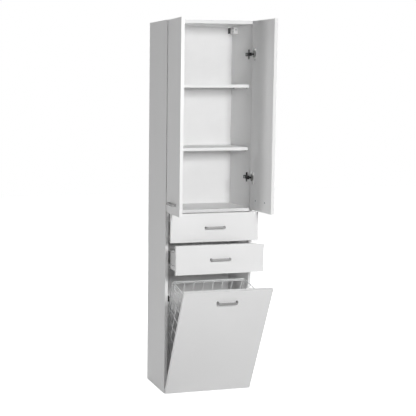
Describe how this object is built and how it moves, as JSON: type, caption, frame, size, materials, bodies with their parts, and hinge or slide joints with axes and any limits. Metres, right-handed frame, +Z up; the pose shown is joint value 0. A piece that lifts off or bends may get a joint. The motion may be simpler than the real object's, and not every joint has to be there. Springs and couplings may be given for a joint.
{
  "type": "bathroom storage tower",
  "caption": "Tall white bathroom cabinet with hinged doors over shelves, sliding drawers, and a tilt-out laundry hamper with a wire basket.",
  "frame": {"origin": "centre of the carcass footprint, on the floor", "axes": "+X to the right seen from the front, +Y towards the back, +Z up"},
  "size_m": [0.5034, 0.5427, 1.82],
  "materials": {
    "white_board": "white melamine-faced chipboard with white edge bands, fine pearl texture",
    "white_hardboard": "thin hardboard with a white lacquered face",
    "black_hinge_metal": "black-coated pressed steel, on hinge arms, plates, links and wall hooks",
    "drawer_steel": "light grey epoxy-coated steel",
    "white_nylon": "white moulded nylon",
    "black_nylon": "black moulded nylon",
    "handle_metal": "satin-plated zinc, softly polished",
    "basket_wire": "bright-plated steel wire",
    "zinc_steel": "bright zinc-plated steel",
    "nickel_steel": "nickel-plated pressed steel",
    "beech": "plain fluted beech"
  },
  "bodies": {
    "carcass": {"side_left": "white_board", "side_right": "white_board", "top_panel": "white_board", "fixed_shelf": "white_board", "bottom_panel": "white_board", "back_panel": "white_hardboard", "shelf_upper": "white_board", "shelf_lower": "white_board", "shelf_pins": "zinc_steel", "cabinet_hangers": "white_nylon", "hanger_hooks": "black_hinge_metal", "dowels": "beech", "cam_fittings": "zinc_steel", "hinge_plates": "black_hinge_metal", "hinge_arms": "black_hinge_metal", "runners_upper": "drawer_steel", "runners_lower": "drawer_steel", "tilt_stops": "black_nylon"},
    "left_door": {"door_left": "white_board", "handle_left": "handle_metal", "handle_screws_left": "zinc_steel", "hinge_cups_left": "nickel_steel"},
    "left_hinge_links": {"hinge_links_left": "black_hinge_metal"},
    "right_door": {"door_right": "white_board", "handle_right": "handle_metal", "handle_screws_right": "zinc_steel", "hinge_cups_right": "nickel_steel"},
    "right_hinge_links": {"hinge_links_right": "black_hinge_metal"},
    "hamper": {"hamper_front": "white_board", "handle_hamper": "handle_metal", "handle_screws_hamper": "zinc_steel", "hinge_cups_hamper": "nickel_steel", "basket_rim": "basket_wire", "basket_back": "basket_wire", "basket_front": "basket_wire", "basket_left": "basket_wire", "basket_right": "basket_wire", "basket_floor": "basket_wire", "basket_clips": "white_nylon", "stop_pins": "zinc_steel"},
    "hamper_hinge_links": {"hinge_links_hamper": "black_hinge_metal"},
    "upper_drawer": {"drawer_front_upper": "white_board", "drawer_side_upper_left": "drawer_steel", "drawer_side_upper_right": "drawer_steel", "drawer_back_upper": "white_board", "drawer_base_upper": "white_board", "handle_upper": "handle_metal", "handle_screws_upper": "zinc_steel"},
    "upper_runner_rollers": {"runner_rollers_upper": "white_nylon"},
    "upper_drawer_rollers": {"drawer_rollers_upper": "white_nylon"},
    "lower_drawer": {"drawer_front_lower": "white_board", "drawer_side_lower_left": "drawer_steel", "drawer_side_lower_right": "drawer_steel", "drawer_back_lower": "white_board", "drawer_base_lower": "white_board", "handle_lower": "handle_metal", "handle_screws_lower": "zinc_steel"},
    "lower_runner_rollers": {"runner_rollers_lower": "white_nylon"},
    "lower_drawer_rollers": {"drawer_rollers_lower": "white_nylon"}
  },
  "joints": [
    {"name": "left_door_hinge", "type": "hinge", "parent": "carcass", "child": "left_door", "pos_m": [-0.217, -0.147, 1.361], "axis": [0, 0, -1], "range_deg": [-93.4, 16.6]},
    {"name": "left_link_pivot", "type": "hinge", "parent": "carcass", "child": "left_hinge_links", "pos_m": [-0.2005, -0.1445, 1.361], "axis": [0, 0, -1], "range_deg": [-10.5, 56.5]},
    {"name": "right_door_hinge", "type": "hinge", "parent": "carcass", "child": "right_door", "pos_m": [0.217, -0.147, 1.361], "axis": [0, 0, 1], "range_deg": [-93.4, 16.6]},
    {"name": "right_link_pivot", "type": "hinge", "parent": "carcass", "child": "right_hinge_links", "pos_m": [0.2005, -0.1445, 1.361], "axis": [0, 0, 1], "range_deg": [-10.5, 56.5]},
    {"name": "hamper_hinge", "type": "hinge", "parent": "carcass", "child": "hamper", "pos_m": [0, -0.147, 0.01], "axis": [1, 0, 0], "range_deg": [-25, 0]},
    {"name": "hamper_link_pivot", "type": "hinge", "parent": "carcass", "child": "hamper_hinge_links", "pos_m": [0, -0.1445, 0.0265], "axis": [1, 0, 0], "range_deg": [-0.5, 15.5]},
    {"name": "upper_drawer_slide", "type": "slide", "parent": "carcass", "child": "upper_drawer", "axis": [0, -1, 0], "range_m": [-0.058, 0.137]},
    {"name": "upper_runner_roller_spin", "type": "hinge", "parent": "carcass", "child": "upper_runner_rollers", "pos_m": [0, -0.123, 0.7785], "axis": [1, 0, 0], "range_deg": [-375, 878]},
    {"name": "upper_drawer_roller_spin", "type": "hinge", "parent": "upper_drawer", "child": "upper_drawer_rollers", "pos_m": [0, 0.035, 0.7785], "axis": [1, 0, 0], "range_deg": [-375, 878]},
    {"name": "lower_drawer_slide", "type": "slide", "parent": "carcass", "child": "lower_drawer", "axis": [0, -1, 0], "range_m": [-0.135, 0.06]},
    {"name": "lower_runner_roller_spin", "type": "hinge", "parent": "carcass", "child": "lower_runner_rollers", "pos_m": [0, -0.123, 0.6355], "axis": [1, 0, 0], "range_deg": [-865, 387]},
    {"name": "lower_drawer_roller_spin", "type": "hinge", "parent": "lower_drawer", "child": "lower_drawer_rollers", "pos_m": [0, -0.042, 0.6355], "axis": [1, 0, 0], "range_deg": [-865, 387]}
  ],
  "couplings": [
    {"joint": "left_link_pivot", "follows": "left_door_hinge", "ratio": -0.6},
    {"joint": "right_link_pivot", "follows": "right_door_hinge", "ratio": -0.6},
    {"joint": "hamper_link_pivot", "follows": "hamper_hinge", "ratio": -0.6},
    {"joint": "upper_runner_roller_spin", "follows": "upper_drawer_slide", "rad_per_m": 111.11},
    {"joint": "upper_drawer_roller_spin", "follows": "upper_drawer_slide", "rad_per_m": 111.11},
    {"joint": "lower_runner_roller_spin", "follows": "lower_drawer_slide", "rad_per_m": 111.11},
    {"joint": "lower_drawer_roller_spin", "follows": "lower_drawer_slide", "rad_per_m": 111.11}
  ]
}
